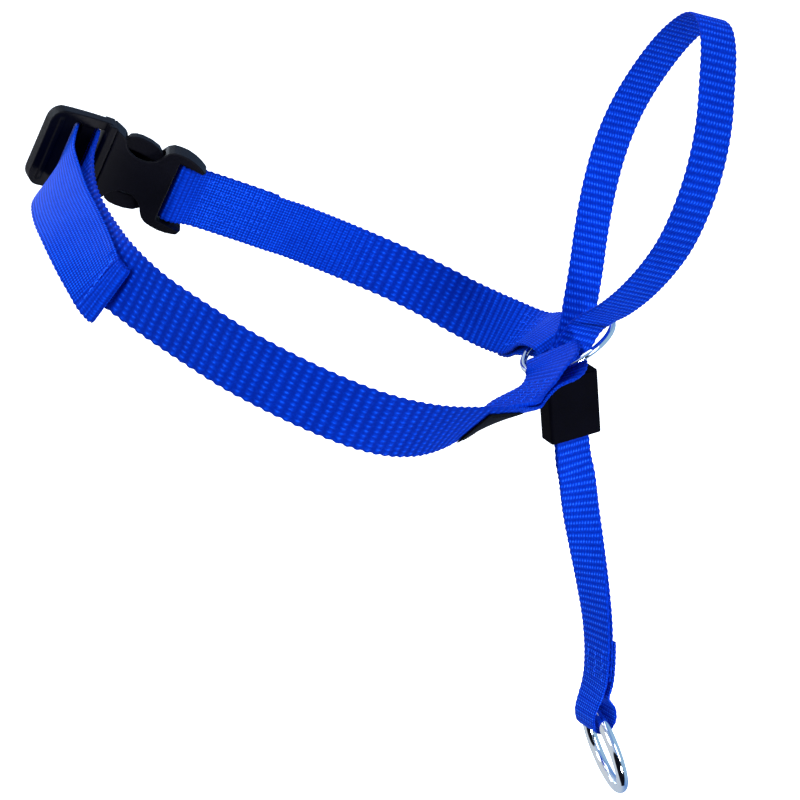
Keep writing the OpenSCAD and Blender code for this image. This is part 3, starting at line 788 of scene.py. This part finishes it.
STITCH_RISE, STITCH_DIP = 0.1, 0.42


def stitch(s, across, length, lift, turn, face):
    """One stitch as an arched thread that dips into the webbing at both ends."""
    place, along, side, out = s[:4]
    t = math.radians(turn)
    run = math.cos(t) * along + math.sin(t) * side
    mid = place + across * side
    pts = []
    for k in range(7):
        x = -1 + k / 3
        arch = STITCH_RISE - STITCH_DIP * abs(x) ** 2.6
        pts.append(mid + run * x * length / 2 + face * out * (lift + arch))
    return pts


def walk(sts, start, stop, step):
    """Stations at even distances, measured back from the end."""
    left = to_go(sts)
    return [sts[int(np.argmin(abs(left - d)))] for d in np.arange(start, stop, step)]


THREAD_R, STITCH_LEN = 0.14, 1.2


def seam(name, sts, rows, start, stop, step, lift, zig, body, node):
    """Rows of zigzag stitches on both faces, a little uneven as hand-fed sewing is."""
    runs = []
    rng = np.random.default_rng(len(name))
    for k, s in enumerate(walk(sts, start, stop, step)):
        for r, row in enumerate(rows):
            for face in (1, -1):
                turn = (zig if (k + r) % 2 == 0 else -zig) + rng.uniform(-18, 18)
                at, size = row + rng.uniform(-0.4, 0.4), STITCH_LEN * rng.uniform(0.7, 1.1)
                runs.append(stitch(s, at, size, lift, turn, face))
    obj = from_mesh(name, thread_mesh(runs, THREAD_R))
    dress(obj, THREAD_MAT, body, [node])


neck_lift = NECK_SHUT + NECK_T / 2
short_w, long_w = loop_world(short_stations), loop_world(long_stations)
short_len = to_go(short_w)[0]
seam("seam_at_socket", short_w, rows=(-7.4, -4.4, -1.5, 1.5, 4.4, 7.4), start=short_len - 31,
     stop=short_len - 5, step=1.9, lift=neck_lift, zig=24, body="collar", node="socket_stitching")
seam("seam_short_strap_at_ring", short_w, rows=(-6, -3, 0, 3, 6), start=15, stop=27.5, step=1.9,
     lift=neck_lift, zig=20, body="collar", node="short_ring_stitching")
seam("seam_long_strap_at_ring", long_w, rows=(-6.4, -3.2, 0, 3.2, 6.4), start=16, stop=33, step=1.9,
     lift=neck_lift, zig=20, body="collar", node="long_ring_stitching")
seam("seam_at_leash_ring", drop_middle, rows=(-3.4, 0, 3.4), start=16, stop=28.5, step=1.8,
     lift=2 * NOSE_PLY + NOSE_T / 2, zig=22, body="drop", node="drop_end_stitching")
HEM_SEAM_AT, HEM_STITCH, HEM_PITCH, HEM_THREAD_R = 5, 2.1, 2.55, 0.24
hem_s = [from_loop(v) for v in (h0[0] + HEM_SEAM_AT * h0[1] + HEM_GAP / 2 * h0[3], h0[1], h0[2], h0[3])]
hem_runs = [stitch(hem_s, k * HEM_PITCH, HEM_STITCH, (HEM_GAP + NECK_T) / 2, 90, face)
            for k in range(-3, 4) for face in (1, -1)]
hem_seam = from_mesh("seam_tail_hem", thread_mesh(hem_runs, HEM_THREAD_R))
dress(hem_seam, THREAD_MAT, "collar", ["tail_hem_stitching"])

# ---------------------------------------------------------------- label
LABEL_FROM, LABEL_LEN, LABEL_W, LABEL_T = 41.5, 21, 15, 0.6
LABEL_STEP, LABEL_COLS = 0.4, 40
LABEL_ROUND = 0.5
GROOVE_DEPTH, GROOVE_AT, GROOVE_W = 0.06, 1.2, 0.25
label_path = loop_world([[*moved(s, (NECK_T + LABEL_T) / 2 + 0.05)[:4], LABEL_W]
                         for s, u in zip(long_front, to_go(long_stations))
                         if LABEL_FROM < u < LABEL_FROM + LABEL_LEN])


def label_mesh(path):
    """A thin patch with rounded edges and a pressed groove where its edge is sewn."""
    s, place, across, out, width = resample(path, LABEL_STEP)
    rows = []
    for face in (1, -1):
        for x in np.linspace(-1, 1, LABEL_COLS)[::face]:
            edge = np.minimum(np.minimum(s, s[-1] - s), (1 - abs(x)) * width / 2)
            z = LABEL_T / 2 * np.clip(edge / LABEL_ROUND, 0.35, 1) ** 0.5
            groove = GROOVE_DEPTH * np.exp(-((edge - GROOVE_AT) / GROOVE_W) ** 2)
            rows.append(place + (x * width / 2)[:, None] * across + face * (z - groove)[:, None] * out)
    n, m = len(s), len(rows)
    verts = np.stack(rows, axis=1).reshape(-1, 3) * MM
    faces = [[i * m + k, i * m + (k + 1) % m, (i + 1) * m + (k + 1) % m, (i + 1) * m + k]
             for i in range(n - 1) for k in range(m)]
    faces.append(list(range(m))[::-1])
    faces.append([(n - 1) * m + k for k in range(m)])
    mesh = bpy.data.meshes.new("label")
    mesh.from_pydata(verts.tolist(), [], faces)
    mesh.shade_smooth()
    return mesh


label = from_mesh("blank_label", label_mesh(label_path))
dress(label, LABEL_MAT, "collar", ["label_patch"])
LABEL_ROW, LABEL_STITCH, LABEL_THREAD_R = 6.6, 1.8, 0.16
label_runs = [stitch(s, row, LABEL_STITCH, LABEL_T / 2, 0, 1)
              for s in label_path[3:-3:max(1, len(label_path) // 9)] for row in (-LABEL_ROW, LABEL_ROW)]
label_seam = from_mesh("label_edge_thread", thread_mesh(label_runs, LABEL_THREAD_R))
dress(label_seam, LABEL_MAT, "collar", ["label_stitching"])


# ---------------------------------------------------------------- studio
def glow(name, colour, strength):
    """A plain paper-white surface that shows to the camera and neither lights nor mirrors in the object."""
    mat, _, _, bsdf = material(name)
    bsdf.inputs["Base Color"].default_value = (*colour, 1)
    bsdf.inputs["Roughness"].default_value = 1
    bsdf.inputs["Specular IOR Level"].default_value = 0
    bsdf.inputs["Emission Color"].default_value = (*colour, 1)
    bsdf.inputs["Emission Strength"].default_value = strength
    return mat


def staged(name, mesh, mat):
    """A backdrop piece that only the camera sees."""
    obj = from_mesh(name, mesh)
    mesh.materials.append(mat)
    obj.visible_diffuse = obj.visible_glossy = obj.visible_shadow = obj.visible_transmission = False


WHITE = glow("studio_white", (0.97, 0.97, 0.97), 1.05)
FLOOR_Z, REACH, DOME_R = -0.75, 9.0, 11.0
floor = bpy.data.meshes.new("studio_floor")
floor.from_pydata([(-REACH, -REACH, FLOOR_Z), (REACH, -REACH, FLOOR_Z), (REACH, REACH, FLOOR_Z),
                   (-REACH, REACH, FLOOR_Z)], [], [[0, 1, 2, 3]])
staged("studio_floor", floor, WHITE)
bm = bmesh.new()
bmesh.ops.create_uvsphere(bm, u_segments=48, v_segments=24, radius=DOME_R)
dome = bpy.data.meshes.new("studio_dome")
bm.to_mesh(dome)
bm.free()
staged("studio_dome", dome, WHITE)


def area(name, place, target, size, power, colour=(1, 1, 1)):
    data = bpy.data.lights.new(name, "AREA")
    data.shape = "RECTANGLE"
    data.size, data.size_y = size
    data.energy = power
    data.color = colour
    obj = bpy.data.objects.new(name, data)
    bpy.context.scene.collection.objects.link(obj)
    obj.location = place
    look = Vector(target) - Vector(place)
    obj.rotation_euler = look.to_track_quat("-Z", "Y").to_euler()
    return obj


area("key_left", (-0.75, -1.0, 0.75), (0, 0, -0.02), (0.7, 0.7), 13)
area("fill_right", (1.1, -0.9, 0.2), (0.03, 0, -0.05), (0.5, 1.0), 6.8)
low = area("low_front", (0.5, -0.7, -0.6), (0.085, 0.012, -0.15), (0.25, 0.25), 0.5)
low.data.spread = math.radians(35)
area("top", (0.1, 0.2, 1.5), (0.02, 0, 0), (1.1, 1.1), 9)
area("back_left", (-0.7, 1.2, 0.5), (0, 0, 0), (0.5, 0.9), 7, (0.8, 0.9, 1))

# what the chrome mirrors: white on the left, pale blue on the right and dark towards the front
world = bpy.data.worlds.new("studio")
bpy.context.scene.world = world
world.use_nodes = True
wn, wl = world.node_tree.nodes, world.node_tree.links
coord = wn.new("ShaderNodeTexCoord")
axes = wn.new("ShaderNodeSeparateXYZ")
wl.new(coord.outputs["Generated"], axes.inputs[0])
add, _, times, _ = arithmetic(wn, wl)
half_up = lambda c: add(times(c, 0.5), 0.5)
sides = ramp(wn, wl, half_up(axes.outputs[0]), [(0.0, (1.0, 1.0, 1.0)), (0.42, (0.75, 0.86, 1.0)),
                                                (0.72, (0.2, 0.42, 0.9)), (0.9, (0.5, 0.76, 1.0))])
low_front = add(times(axes.outputs[1], -0.82), times(axes.outputs[2], -0.57))
front = ramp(wn, wl, half_up(low_front), [(0.0, (1.0, 1.0, 1.0)), (0.82, (1.0, 1.0, 1.0)),
                                          (0.85, (0.01, 0.01, 0.015)), (1.0, (0.01, 0.01, 0.015))])
wl.new(multiplied(wn, wl, sides, front), wn["Background"].inputs[0])
wn["Background"].inputs[1].default_value = 0.68
bpy.context.scene.view_settings.view_transform = "Standard"

# ---------------------------------------------------------------- camera
cam = bpy.data.cameras.new("camera")
cam.lens = 110
cam.sensor_width = 36
cam.clip_start, cam.clip_end = 0.01, 20
cam_obj = bpy.data.objects.new("camera", cam)
bpy.context.scene.collection.objects.link(cam_obj)
right = unit(V(0.9956, -0.0383, -0.0860))
back = unit(V(0, -0.9135, 0.4067))
above = np.cross(back, right)
pose = Matrix.Identity(4)
for k in range(3):
    pose[k][0], pose[k][1], pose[k][2] = right[k], above[k], back[k]
pose.translation = Vector((0.028, -0.7083, 0.2781))
cam_obj.matrix_world = pose
bpy.context.scene.camera = cam_obj
